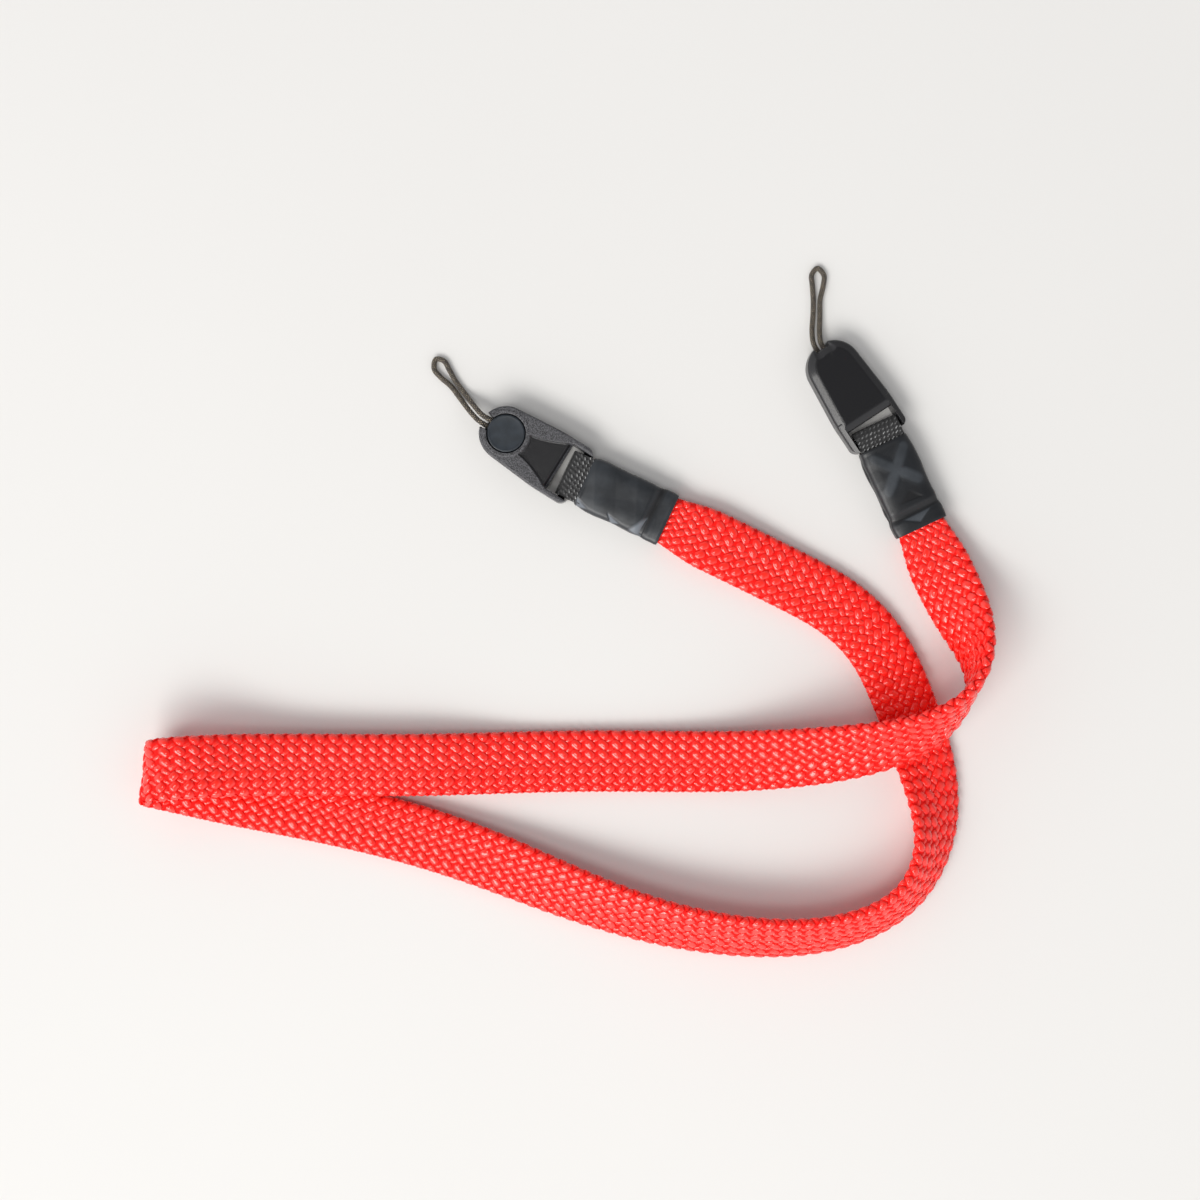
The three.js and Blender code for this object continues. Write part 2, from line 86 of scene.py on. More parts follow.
def skin(name, points, along, around, loop=False, extra=None):
    """A closed mesh over copies of a grid.

    points has the shape (copies, rows, columns, 3). Each row is a ring, and neighbouring rings are
    joined with four-sided faces. With loop the last ring joins the first, otherwise both are
    filled. along (copies, rows) and around (columns + 1) become the UV map, in metres. extra holds
    named numbers for every point."""
    copies, rows, columns, _ = points.shape
    flat = points.reshape(-1, 3)
    bands = rows if loop else rows - 1
    i, j = np.meshgrid(np.arange(bands), np.arange(columns), indexing="ij")

    def corner(di, dj):
        return ((i + di) % rows) * columns + (j + dj) % columns

    quads = np.stack([corner(0, 0), corner(0, 1), corner(1, 1), corner(1, 0)], -1).reshape(-1, 4)
    u = np.concatenate([along, along[:, -1:] + (along[:, 1:2] - along[:, :1])], 1)
    quad_u = np.stack([u[:, :bands]] * 2 + [u[:, 1:bands + 1]] * 2, -1)
    quad_v = np.stack([around[:-1], around[1:], around[1:], around[:-1]], -1)
    uv = np.stack(np.broadcast_arrays(quad_u[:, :, None, :], quad_v[None, None]), -1)
    starts = np.arange(copies) * rows * columns
    quads = quads[None] + starts[:, None, None]
    a, b, c, d = (flat[quads[..., k]] for k in range(4))
    volume = np.einsum("...i,...i", a, np.cross(b, c) + np.cross(c, d)).sum()
    rings = np.zeros((0, columns), int)
    if not loop:
        first = starts[:, None] + np.arange(columns)
        rings = np.concatenate([first[:, ::-1], first + (rows - 1) * columns])
        p = flat[rings]
        middle = p.mean(1, keepdims=True)
        volume += np.einsum("...i,...i", middle, np.cross(p, np.roll(p, -1, 1))).sum()
    uv = uv.reshape(-1, 4, 2)
    quads = quads.reshape(-1, 4)
    if volume < 0:
        quads, uv, rings = quads[:, ::-1], uv[:, ::-1], rings[:, ::-1]
    corners = np.concatenate([quads.ravel(), rings.ravel()])
    sizes = np.concatenate([np.full(len(quads), 4), np.full(len(rings), columns)])
    mesh = bpy.data.meshes.new(name)
    mesh.vertices.add(len(flat))
    mesh.vertices.foreach_set("co", flat.ravel())
    mesh.loops.add(len(corners))
    mesh.loops.foreach_set("vertex_index", corners)
    mesh.polygons.add(len(sizes))
    mesh.polygons.foreach_set("loop_start", np.concatenate([[0], np.cumsum(sizes)[:-1]]))
    mesh.polygons.foreach_set("use_smooth", np.ones(len(sizes), bool))
    uv_all = np.zeros((len(corners), 2))
    uv_all[:quads.size] = uv.reshape(-1, 2)
    mesh.uv_layers.new(name="UVMap").data.foreach_set("uv", uv_all.ravel())
    for key, values in (extra or {}).items():
        mesh.attributes.new(key, "FLOAT", "POINT").data.foreach_set("value", values.ravel())
    mesh.update(calc_edges=True)
    print(f"{name}: {len(quads) * 2 + len(rings) * (columns - 2)} triangles")
    return in_scene(name, mesh)


def finish_piece(piece, material, finish, *nodes):
    """Gives a piece its material, puts it under the root body and hides the solids that it stands
    for.
    """
    piece.data.materials.append(material)
    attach(piece, "root")
    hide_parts(*nodes)


def unit(v):
    return v / np.linalg.norm(v, axis=-1, keepdims=True)


def smooth(t):
    """0 below 0, 1 above 1, and an even S between them."""
    t = np.clip(t, 0, 1)
    return t * t * (3 - 2 * t)


def angles(count):
    """Even angles once round, without the last one, which is the first again."""
    return np.linspace(0, 2 * np.pi, count + 1)[:-1]


# %% [markdown]
# The braid's route is the one that the solid has. Each row of the table gives the middle of the
# braid in shares of the plan, how many layers lie under it, and where its width points. A uniform
# cubic B-spline near the rows gives the smooth route.

# %% The braid's route
BAND_WIDTH = 24 * MM
BAND_THICKNESS = 5 * MM
BAND_END_WIDTH = 18.4 * MM
BAND_MOUTH_THICKNESS = 4.6 * MM
BAND_END_THICKNESS = 3.6 * MM
BAND_FAN_OUT = 18 * MM
BAND_TAIL = 27 * MM
PLAN = np.array([327, 167]) * MM
LAYER = 5.3 * MM
MID_HEIGHT = 4.8 * MM
END_LIFT = (4.8 - 2.5) / 5.3  # lifts the braid's ends to the middle of the sleeves
SOFT_LEAN = 0.02  # keeps the rise of a leaning braid from starting with a kink

# x, y, lift, head in degrees, lean in degrees
LAY = np.array([
    [0.621, 1.0, END_LIFT, 65, 0], [0.689, 0.937, END_LIFT, 65, 0],
    [0.759, 0.87, 0, 63, 0], [0.824, 0.806, 0, 52, 0], [0.869, 0.717, 0, 34, 0],
    [0.893, 0.612, 0, 22, 0], [0.914, 0.505, 0, 18, -3], [0.93, 0.39, 0, 8, -24],
    [0.934, 0.27, 0, -8, -47], [0.909, 0.15, 0, -35, -56], [0.853, 0.078, 0, -65, -53],
    [0.775, 0.045, 0, -82, -48], [0.68, 0.056, 0, -98, -43], [0.59, 0.093, 0, -108, -36],
    [0.495, 0.159, 0, -112, -24], [0.395, 0.24, 0, -110, -9], [0.29, 0.302, 0, -104, 0],
    [0.185, 0.345, 0, -101, 0], [0.11, 0.372, 0, -100, 0], [0.066, 0.392, 0, -99, 0],
    [0.033, 0.408, 0.3, -98, 0], [0.017, 0.424, 1.55, -96, 0], [0.029, 0.437, 2.95, -94, 0],
    [0.066, 0.444, 3.0, -92, 0], [0.117, 0.446, 2.0, -90, 0], [0.18, 0.445, 1.3, -90, 0],
    [0.27, 0.443, 1.05, -90, 0], [0.35, 0.443, 1.05, -90, 0], [0.44, 0.446, 0.05, -90, 0],
    [0.53, 0.45, 0, -90, 0], [0.62, 0.448, 0, -89, -2], [0.7, 0.448, 0.2, -88, -7],
    [0.78, 0.461, 1.0, -86, -19], [0.845, 0.48, 1.7, -83, -31], [0.902, 0.508, 1.85, -76, -44],
    [0.948, 0.556, 1.4, -58, -60], [0.979, 0.632, 0.6, -25, -84], [0.977, 0.722, 0, 10, -120],
    [0.957, 0.815, 0, 22, -158], [0.936, 0.905, END_LIFT, 25, -180],
    [0.917, 0.984, END_LIFT, 25, -180],
])


def spline_rows(rows, samples):
    """A uniform cubic B-spline: each point is the mean of four neighbouring rows, weighted with
    (1-f)^3, 3f^3-6f^2+4, -3f^3+3f^2+3f+1 and f^3, over 6."""
    padded = np.vstack([2 * rows[0] - rows[1], rows, 2 * rows[-1] - rows[-2]])
    t = np.linspace(0, len(rows) - 1, (len(rows) - 1) * samples + 1)
    i = np.minimum(t.astype(int), len(rows) - 2)
    f = (t - i)[:, None]
    weights = [(1 - f) ** 3, 3 * f**3 - 6 * f**2 + 4, -3 * f**3 + 3 * f**2 + 3 * f + 1, f**3]
    return sum(w * padded[i + k] for k, w in enumerate(weights)) / 6


def lay_braid(samples=24):
    """The braid's middle line and the direction of its width, in the plan's own frame. A leaning
    braid stands on its edge, so its middle rises by |sin lean| times half the level width."""
    x, y, lift, head, lean = spline_rows(LAY, samples).T
    head, lean = np.radians(head), np.radians(lean)
    rise = np.hypot(np.sin(lean), SOFT_LEAN) * (BAND_WIDTH - BAND_THICKNESS) / 2
    middle = np.stack([x * PLAN[0], y * PLAN[1], lift * LAYER + rise + BAND_THICKNESS / 2], 1)
    width = np.stack([np.cos(lean) * np.cos(head), np.cos(lean) * np.sin(head), np.sin(lean)], 1)
    return middle, width


middle, width = lay_braid()
first_way = unit(middle[1] - middle[0])
last_way = unit(middle[-1] - middle[-2])
# The plan's frame goes to the model's frame by one shift: the model's box is centred over the
# origin and stands on z = 0. The left fold's outer edge is the check.
shift = np.array([-164.177, -117.446, 0.109]) * MM
low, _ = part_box("braid_band")
thin_way = np.abs(unit(np.cross(np.gradient(middle, axis=0), width)))
reach = thin_way * BAND_THICKNESS / 2 + np.abs(width) * (BAND_WIDTH - BAND_THICKNESS) / 2
print("route's left edge against the solid's, mm:",
      round(((middle - reach)[:, 0].min() + shift[0] - low.x) / MM, 2))
middle = middle + shift

# %% [markdown]
# The route goes on straight into both sleeves, as the real braid does. At even steps it gets three
# directions: along, across the width, and through the thickness.

# %% Even steps along the braid
PITCH = 61.6 * MM  # one strand goes once round the braid over this length
STRANDS = 12  # in each of the two directions
PERIOD = PITCH / STRANDS
STEPS_A_PERIOD = 11


def distances(points):
    """How far along a line each of its points lies."""
    return np.append(0, np.cumsum(np.linalg.norm(np.diff(points, axis=0), axis=1)))


def between(wanted, so_far, rows):
    """The rows' values at other distances, on straight lines between the rows."""
    return np.stack([np.interp(wanted, so_far, rows[:, k]) for k in range(3)], 1)


line = np.vstack([middle[0] - first_way * BAND_TAIL, middle, middle[-1] + last_way * BAND_TAIL])
widths = np.vstack([width[0], width, width[-1]])
length_so_far = distances(line)
free_length = length_so_far[-2] - length_so_far[1]
steps = int(length_so_far[-1] / PERIOD * STEPS_A_PERIOD)
s = np.linspace(0, length_so_far[-1], steps + 1)
centre = between(s, length_so_far, line)
forward = unit(np.gradient(centre, axis=0))
across = between(s, length_so_far, widths)
across = unit(across - forward * (across * forward).sum(1, keepdims=True))
through = np.cross(forward, across)
to_mouth = np.minimum(s, s[-1] - s) - BAND_TAIL
spread = smooth((to_mouth + BAND_FAN_OUT / 3) / (BAND_FAN_OUT * 4 / 3))
band_width = BAND_END_WIDTH + (BAND_WIDTH - BAND_END_WIDTH) * spread
# Inside a sleeve the braid is pressed thinner, in two slopes
band_thickness = np.where(
    to_mouth > 0,
    BAND_MOUTH_THICKNESS + (BAND_THICKNESS - BAND_MOUTH_THICKNESS) * spread,
    np.interp(to_mouth, np.array([-8.75, -6.5, 0]) * MM,
              [BAND_END_THICKNESS, 4.1 * MM, BAND_MOUTH_THICKNESS]),
)
print("free braid, mm:", round(free_length / MM, 1), "steps:", steps)

# %% [markdown]
# A finish starts from what the real thing is. Small functions add the shader nodes, and one turns
# a hex colour, as a screen shows it, into the linear numbers that the renderer counts with.

# %% Colours and nodes


def linear(hex_colour):
    """sRGB to linear: up to 0.04045 value / 12.92, and above it ((value + 0.055) / 1.055)^2.4."""
    value = np.array([int(hex_colour[k:k + 2], 16) for k in (1, 3, 5)]) / 255
    low_part = value / 12.92
    high_part = ((value + 0.055) / 1.055) ** 2.4
    return (*np.where(value <= 0.04045, low_part, high_part), 1)


def add(tree, kind, inputs=None, **settings):
    """Adds a node. An input is a plain value, or an output of another node to link."""
    made = tree.nodes.new(kind)
    for key, value in settings.items():
        setattr(made, key, value)
    for key, value in (inputs or {}).items():
        if isinstance(value, bpy.types.NodeSocket):
            tree.links.new(value, made.inputs[key])
        else:
            made.inputs[key].default_value = value
    return made


def new_material(name):
    """An empty material: its tree and its output node."""
    made = bpy.data.materials.new(name)
    made.use_nodes = True
    made.node_tree.nodes.clear()
    return made, made.node_tree, made.node_tree.nodes.new("ShaderNodeOutputMaterial")


def ramp(tree, factor, stops):
    """A colour ramp through (place, hex colour) stops."""
    made = add(tree, "ShaderNodeValToRGB", {"Fac": factor})
    points = made.color_ramp.elements
    while len(points) < len(stops):
        points.new(0.5)
    for point, (place, colour) in zip(points, stops):
        point.position = place
        point.color = linear(colour)
    return made.outputs["Color"]


def maths(tree, operation, *values):
    """One sum on numbers or outputs."""
    return add(tree, "ShaderNodeMath", dict(enumerate(values)), operation=operation).outputs[0]


def remap(tree, value, low, high, new_low=0.0, new_high=1.0):
    """Carries low..high over to new_low..new_high along a straight line that stops at both ends."""
    return add(tree, "ShaderNodeMapRange",
               {"Value": value, "From Min": low, "From Max": high,
                "To Min": new_low, "To Max": new_high}).outputs["Result"]


def noise(tree, place, scale, detail):
    """Cloudy noise between 0 and 1, with this many clouds a metre."""
    return add(tree, "ShaderNodeTexNoise",
               {"Vector": place, "Scale": scale, "Detail": detail}).outputs["Fac"]


def bumpy(tree, height, strength, depth):
    """The normal of a surface that rises by height times depth, in metres, at this strength."""
    return add(tree, "ShaderNodeBump",
               {"Strength": strength, "Distance": depth, "Height": height}).outputs["Normal"]


def surface(tree, out, settings):
    """The shader itself, linked to the material's output."""
    shader = add(tree, "ShaderNodeBsdfPrincipled", settings)
    tree.links.new(shader.outputs["BSDF"], out.inputs["Surface"])


# %% [markdown]
# The thin cord loops come first, because they are free cords with a length of their own. A loop
# leaves the round anchor, runs 30 mm out, turns and comes back beside itself. The real cord is
# plaited from fine dark yarns, with a few lighter ones. At 2 mm across, the plait is a low relief:
# two sets of yarns wind round in opposite ways, and where one passes over the other the surface
# stands a little higher.

# %% Plaited cord: dyed polyester, plaited


def light_yarns(tree, uv, along, around, thin, dim):
    """Where the light yarns surface: in rows half a period apart, each row's dashes set between
    those of the last. a and b are cosines over the UV map, with these periods in metres. A dash
    shows where |a| is over thin and b has a's sign, times a patchy brightness that starts at dim.
    The second output is the height of the weave, a times b."""
    split = add(tree, "ShaderNodeSeparateXYZ", {0: uv}).outputs
    a, b = (maths(tree, "COSINE", maths(tree, "MULTIPLY", split[axis], 2 * math.pi / period))
            for axis, period in (("X", along), ("Y", around)))
    row = remap(tree, maths(tree, "ABSOLUTE", a), thin - 0.1, thin + 0.1)
    dash = remap(tree, maths(tree, "MULTIPLY", maths(tree, "SIGN", a), b), -0.1, 0.3)
    bright = remap(tree, noise(tree, uv, 700.0, 1.0), 0.4, 0.62, dim)
    dashes = maths(tree, "MULTIPLY", maths(tree, "MULTIPLY", row, dash), bright)
    return dashes, maths(tree, "MULTIPLY", a, b)


PLAIT_PERIOD = 1.5 * MM


# A dull brown-black thread; the light yarns give the speckled look
cord_finish, tree, out = new_material("polyester_plaited_cord")
uv = add(tree, "ShaderNodeUVMap", uv_map="UVMap").outputs["UV"]
speck, plait = light_yarns(tree, uv, PLAIT_PERIOD, 0.9 * MM, 0.7, 0.25)
colour = ramp(tree, speck, [(0.05, "#28221e"), (0.9, "#a3967f")])
surface(tree, out, {"Base Color": colour, "Roughness": 0.62, "Sheen Weight": 0.15,
                    "Normal": bumpy(tree, plait, 0.6, 0.1 * MM)})

# %% The frames of the two ends
# The fittings are drawn in mm, and turned into metres when an end takes them to its place
SLEEVE_LENGTH = 35
FOLD_MIDDLE = 40.4
WEBBING_WIDTH = 18
BAR_TO_DISC = 30.4
HALF_HEIGHT = 4.8
DISC_RADIUS = 7.25
POCKET_RADIUS = 7.55
# The cords' own numbers are in metres
CORD_RADIUS = 1 * MM

# x along the notch, y to the left, both from the disc's middle and in mm, and the drop
CORD_ROUTES = {
    "a": [[11.8, -1.35, 0], [16.5, -2.8, 0.45], [22.0, -4.9, 0.95], [27.6, -7.1, 1],
          [32.0, -9.5, 1], [35.6, -11.4, 1], [38.6, -10.4, 1], [37.3, -6.9, 1], [33.4, -5.4, 1],
          [28.4, -4.6, 1], [22.8, -2.5, 0.95], [17.2, -0.3, 0.45], [11.8, 1.25, 0]],
    "b": [[11.8, -1.1, 0], [16.6, 1.3, 0.45], [21.5, 5.1, 0.95], [26.5, 8.5, 1],
          [31.3, 11.2, 1], [34.7, 13.2, 1], [35.6, 16.4, 1], [32.0, 17.0, 1], [28.8, 14.6, 1],
          [25.0, 10.7, 1], [19.9, 7.2, 0.95], [15.0, 3.7, 0.45], [11.0, 1.5, 0]],
}


def turn(degrees, axis):
    """A turn about one axis, as three rows."""
    c, n = math.cos(math.radians(degrees)), math.sin(math.radians(degrees))
    if axis == "x":
        return np.array([[1, 0, 0], [0, c, -n], [0, n, c]])
    return np.array([[c, -n, 0], [n, c, 0], [0, 0, 1]])


class End:
    """One end of the strap: x runs from the sleeve's mouth to the housing, z out of its front."""

    def __init__(self, name, mouth, way, flip, skew):
        heading = math.degrees(math.atan2(way[1], way[0]))
        self.name = name
        self.front = 1 if flip == 0 else -1
        self.turned = turn(heading, "z") @ turn(flip, "x")
        self.mouth = np.array([mouth[0], mouth[1], MID_HEIGHT + shift[2]])
        self.skewed = self.turned @ turn(skew, "z")
        bar = FOLD_MIDDLE - WEBBING_WIDTH / 2 * abs(math.sin(math.radians(skew)))
        self.bar = self.mouth + self.turned @ np.array([bar * MM, 0, 0])
        self.disc = self.bar + self.skewed @ np.array([BAR_TO_DISC * MM, 0, 0])

    def from_mouth(self, points):
        return points @ self.turned.T + self.mouth

    def from_bar(self, points):
        return points @ self.skewed.T + self.bar

    def from_disc(self, points):
        return points @ self.skewed.T + self.disc


ENDS = [
    End("a", middle[0], -first_way, 0, -6.5),
    End("b", middle[-1], last_way, 180, -8),
]
for end in ENDS:
    print("disc", end.name, "mm:", np.round(end.disc / MM, 1))

# %% The cord loops


def smooth_route(points, count):
    """A centripetal Catmull-Rom spline through the points: between two points the four nearest are
    blended, and the knots stand apart by the square root of the distance."""
    p = np.vstack([2 * points[0] - points[1], points, 2 * points[-1] - points[-2]])
    gaps = np.maximum(np.linalg.norm(np.diff(p, axis=0), axis=1) ** 0.5, 1e-6)
    g0, g1, g2 = gaps[:-2, None], gaps[1:-1, None], gaps[2:, None]
    p0, p1, p2, p3 = p[:-3], p[1:-2], p[2:-1], p[3:]
    into = ((p1 - p0) / g0 - (p2 - p0) / (g0 + g1) + (p2 - p1) / g1) * g1
    outof = ((p2 - p1) / g1 - (p3 - p1) / (g1 + g2) + (p3 - p2) / g2) * g1
    t = np.linspace(0, len(points) - 1, count)
    i = np.minimum(t.astype(int), len(points) - 2)
    f = (t - i)[:, None]
    a, b = points[i], points[i + 1]
    return (a * (2 * f**3 - 3 * f**2 + 1) + into[i] * (f**3 - 2 * f**2 + f)
            + b * (3 * f**2 - 2 * f**3) + outof[i] * (f**3 - f**2))


def resample(points, count):
    """The same route with points at even distances."""
    so_far = distances(points)
    wanted = np.linspace(0, so_far[-1], count)
    return between(wanted, so_far, points), wanted


def cord_loop(end):
    """A tube round the loop's route, whose radius rises and falls with the plait."""
    rows = np.array([[POCKET_RADIUS, -1.3, 0]] + CORD_ROUTES[end.name] + [[POCKET_RADIUS, 1.3, 0]])
    disc_middle = 1.9  # mm over the housing's middle
    on_table = -end.front * (HALF_HEIGHT - CORD_RADIUS / MM)
    z = disc_middle + (on_table - disc_middle) * rows[:, 2]
    route = smooth_route(np.stack([rows[:, 0], rows[:, 1], z], 1) * MM, 1200)
    route, run = resample(end.from_disc(route), 460)
    ahead = unit(np.gradient(route, axis=0))
    side = unit(np.cross(np.array([0, 0, 1]), ahead))
    up = np.cross(ahead, side)
    columns, yarns_round = 24, 7
    angle = angles(columns)
    yarn_s, yarn_a = np.meshgrid(run / PLAIT_PERIOD * 2 * np.pi, angle, indexing="ij")
    radius = CORD_RADIUS * (0.97 + 0.06 * np.cos(yarns_round * yarn_a) * np.cos(yarn_s))
    ring = (side[:, None] * np.cos(angle)[None, :, None]
            + up[:, None] * np.sin(angle)[None, :, None])
    points = route[:, None] + ring * radius[..., None]
    piece = skin(f"anchor_cord_loop_{end.name}", points[None], run[None],
                 np.linspace(0, 2 * np.pi * CORD_RADIUS, columns + 1))
    finish_piece(piece, cord_finish, "cord", f"anchor_cord_{end.name}")
    print("cord", end.name, "mm:", round(run[-1] / MM, 1))


for end in ENDS:
    cord_loop(end)

# %% [markdown]
# The wide braid is a flattened tube of 24 strands: 12 wind one way round it and 12 the other, and
# each passes over one and under the next. Twelve rows of floats then show on each face. The strands
# are real tubes here, because their shadows and glints are what the eye knows a braid by. A
# strand's path is the braid's route, plus its place on the flattened tube, plus a wave out of the
# surface that lifts it over its neighbours. The place round the tube is an angle, even in length.

# %% The flattened tube


def superellipse(t, exponent):
    """Places on |x|^n + |y|^n = 1 at the angles t: x = sign(cos t) |cos t|^(2/n), and y alike."""
    return [np.sign(wave) * np.abs(wave) ** (2 / exponent) for wave in (np.cos(t), np.sin(t))]


def flat_tube_table(exponent, half_width, half_thickness, count):
    """Places round a superellipse at even distances, in shares of its half width and half
    thickness, and the directions that point out of it."""
    x, y = superellipse(np.linspace(0, 2 * np.pi, 40001), exponent)
    run = np.append(0, np.cumsum(np.hypot(np.diff(x) * half_width, np.diff(y) * half_thickness)))
    even = np.linspace(0, run[-1], count + 1)
    x, y = np.interp(even, run, x), np.interp(even, run, y)
    dx = np.gradient(x * half_width)
    dy = np.gradient(y * half_thickness)
    size = np.hypot(dx, dy)
    return np.linspace(0, 2 * np.pi, count + 1), x, y, dy / size, -dx / size


TUBE_HALF_WIDTH = 10.7  # mm
TUBE_HALF_THICKNESS = 1.2  # mm
TUBE_ROUND = 46 * MM  # once round it
TUBE = flat_tube_table(3.2, TUBE_HALF_WIDTH, TUBE_HALF_THICKNESS, 1440)
EDGE_ROOM = 1.3 * MM  # from the tube's edge to the braid's, for the strands
STRAND_HALF_WIDTH = 1.42 * MM
STRAND_HALF_THICKNESS = 0.68 * MM
# The corners of a strand's section: five over the side that shows, and one below
STRAND_CORNERS = np.radians([0, 45, 90, 135, 180, 270])
STRAND_RUN = 1.24  # a strand's own length for each length of braid
WAVE = 0.62 * MM  # how far a strand rises over its neighbours, and dips under them
FLAT_TOPS = 2.4  # how long and straight a float is
STEEPER = 0.3  # how much steeper the big floats cross the braid, and how much flatter the others


def uneven(angle):
    """Which strands stand out: on each face, and from each edge to the middle, those that come
    away from that edge. It is tanh(2.2 sin 2 angle): 1 and -1 in turn over the four half faces."""
    return np.tanh(2.2 * np.sin(2 * angle))


def on_tube(angle):
    """Places on the middle surface of the flattened tube, and the directions out of it."""
    squeeze = band_thickness / BAND_THICKNESS
    half_width = band_width / 2 - EDGE_ROOM * squeeze
    half_thickness = TUBE_HALF_THICKNESS * MM * squeeze
    table = [np.interp(angle % (2 * np.pi), TUBE[0], TUBE[k]) for k in range(1, 5)]
    place = (centre + (table[0] * half_width)[..., None] * across
             + (table[1] * half_thickness)[..., None] * through)
    out = unit(table[2][..., None] * across + table[3][..., None] * through)
    return place, out, squeeze, half_width / (TUBE_HALF_WIDTH * MM)


# %% The strands


def strands(name, direction, numbers):
    """Several strands that wind the same way.

    The angle round the tube is the strand's own start plus direction times 2 pi per pitch. The wave
    out of the surface is tanh of 2.4 times the sine of 12 times the angle, so a float is long and
    flat and dips quickly. Loose strands (big near 1) have long wide floats that touch each other;
    taut ones (big near -1) show between them as thin flat ridges, less than half as wide."""
    start = 2 * np.pi * numbers[:, None] / STRANDS + np.pi / (2 * STRANDS)
    angle = start + direction * 2 * np.pi * s[None] / PITCH
    angle = angle - STEEPER / STRANDS * spread * uneven(angle) * np.cos(STRANDS * angle)
    big = direction * uneven(angle) * spread
    top = direction * np.sin(STRANDS * angle)
    place, out, squeeze, narrow = on_tube(angle)
    lift = np.tanh(FLAT_TOPS * (top + 0.35 * big + 0.25 * big**2))
    path = place + (WAVE * squeeze * lift)[..., None] * out
    ahead = unit(np.gradient(path, axis=1))
    out = unit(out - ahead * (out * ahead).sum(-1, keepdims=True))
    side = np.cross(ahead, out)
    wide = STRAND_HALF_WIDTH * narrow * (1 + 0.38 * big - 0.1 * big**2)
    thick = STRAND_HALF_THICKNESS * squeeze * (1 + 0.32 * big - 0.18 * big**2)
    aside, outward = np.cos(STRAND_CORNERS), np.sin(STRAND_CORNERS)
    points = (path[:, :, None] + side[:, :, None] * (wide[..., None] * aside)[..., None]
              + out[:, :, None] * (thick[..., None] * outward)[..., None])
    run = np.broadcast_to(s * STRAND_RUN, path.shape[:2])
    # The height is 1 on the crest of a float, and 0 or less where a strand dips. The material
    # paints the low places darker, as painted shade
    height = outward[None, None] * 0.5 + top[..., None] * 0.5
    around = np.append(STRAND_CORNERS, 2 * np.pi) * 1.1 * MM
    return skin(name, points, run, around, extra={"height": height})


# %% [markdown]
# The strands are filament yarn: hundreds of fine, glossy polyester threads that lie side by side.
# They give a strong clean red and a pale streak along each float. Drawn polyester bends light more
# than most plastics do, with an index near 1.6, so the streaks are bright. Deep between the strands
# the red is painted darker, as painted shade, and on the crests a little lighter, as painted light.
# One filament is 0.02 mm thick and would never show, so the grain is drawn ten times as coarse.

# %% Braided strands: polyester filament yarn, braided
strand_finish, tree, out = new_material("polyester_filament_braid")
uv = add(tree, "ShaderNodeUVMap", uv_map="UVMap").outputs["UV"]
height = add(tree, "ShaderNodeAttribute", attribute_name="height").outputs["Fac"]
# Painted shade and light: from a darker red in the gaps to a lighter red on the crests
colour = ramp(tree, height, [(0.0, "#d81012"), (0.4, "#fa1f18"), (1.0, "#ff3024")])
# Along a strand the grain is 4 mm long, and across it 0.2 mm wide
grain_place = add(tree, "ShaderNodeMapping", {"Vector": uv, "Scale": (250, 5000, 1)})
grain = noise(tree, grain_place.outputs["Vector"], 1.0, 2.0)
threads = bumpy(tree, grain, 0.12, 0.1 * MM)
# The threads shine where they lie drawn tight over a float, and not in the gaps
gloss = remap(tree, height, 0.3, 0.6)
surface(tree, out, {"Base Color": colour, "Roughness": 0.6, "Specular IOR Level": 0.1,
                    "Coat Weight": gloss, "Coat Roughness": 0.13, "Coat IOR": 1.6,
                    "Normal": threads})

BED_RISE = 0.7  # mm over the tube's middle surface
BED_EDGE_RISE = 0.2  # mm more at the braid's two edges
BED_COLUMNS = 40
BED_STEP = 4  # the bed needs only every fourth step along the braid
# The bed takes the darker red of the gaps, painted shade
BED_PAINTED_SHADE = 0.25  # picks the colour of the gaps


def filament_bed():
    """The filaments in the gaps: a surface 0.7 mm over the tube's middle, 0.9 mm at its edges."""
    angle = angles(BED_COLUMNS)
    place, out, _, _ = on_tube(angle[:, None] + 0 * s[None])
    rise = BED_RISE + BED_EDGE_RISE * np.abs(np.cos(angle)) ** 8
    points = (place + (rise * MM)[:, None, None] * out).transpose(1, 0, 2)[::BED_STEP][None]
    return skin("braid_filament_bed", points, s[None, ::BED_STEP],
                np.linspace(0, TUBE_ROUND, BED_COLUMNS + 1),
                extra={"height": np.full(points.shape[:3], BED_PAINTED_SHADE)})


finish_piece(filament_bed(), strand_finish, "braid", "braid_band")
for direction, word in ((1, "left"), (-1, "right")):
    for half in (0, 1):
        piece = strands(f"braid_strands_{word}_{half + 1}", direction, np.arange(6) + 6 * half)
        finish_piece(piece, strand_finish, "braid", "braid_band")

# %% [markdown]
# Each sleeve is a piece of black tube, shrunk on with heat. It shows what lies under it: the
# braid's round shoulder, a crease where the webbing begins, and the cross-stitched box that sews
# the two together. Its faces are flat with soft edges, so its section is a superellipse with a high
# exponent.

# %% Shrunk sleeve: heat-shrink polyolefin
# A satin, slightly waxy black. Its low relief catches soft grey glints, and painted sheen adds to
# them: lighter colour on the stitched cross, the raised facets and the dents, and painted shade in
# the crease
sleeve_finish, tree, out = new_material("heat_shrunk_polyolefin")
place = add(tree, "ShaderNodeTexCoord").outputs["Object"]
cloud = noise(tree, place, 220.0, 4.0)
fine = noise(tree, place, 3000.0, 2.0)
painted_sheen_and_shade = add(tree, "ShaderNodeAttribute", attribute_name="painted_sheen_and_shade").outputs["Fac"]
# The film's random tone plus its painted sheen and shade
shade = maths(tree, "ADD", remap(tree, cloud, 0.0, 1.0, 0.2, 0.36), painted_sheen_and_shade)
colour = ramp(tree, shade, [(0.0, "#0f1013"), (0.25, "#1e2125"), (0.95, "#6b7178")])
rough = remap(tree, shade, 0.0, 1.0, 0.42, 0.28)
surface(tree, out, {"Base Color": colour, "Roughness": rough, "IOR": 1.5,
                    "Normal": bumpy(tree, fine, 0.12, 0.1 * MM)})

# %% The sleeves


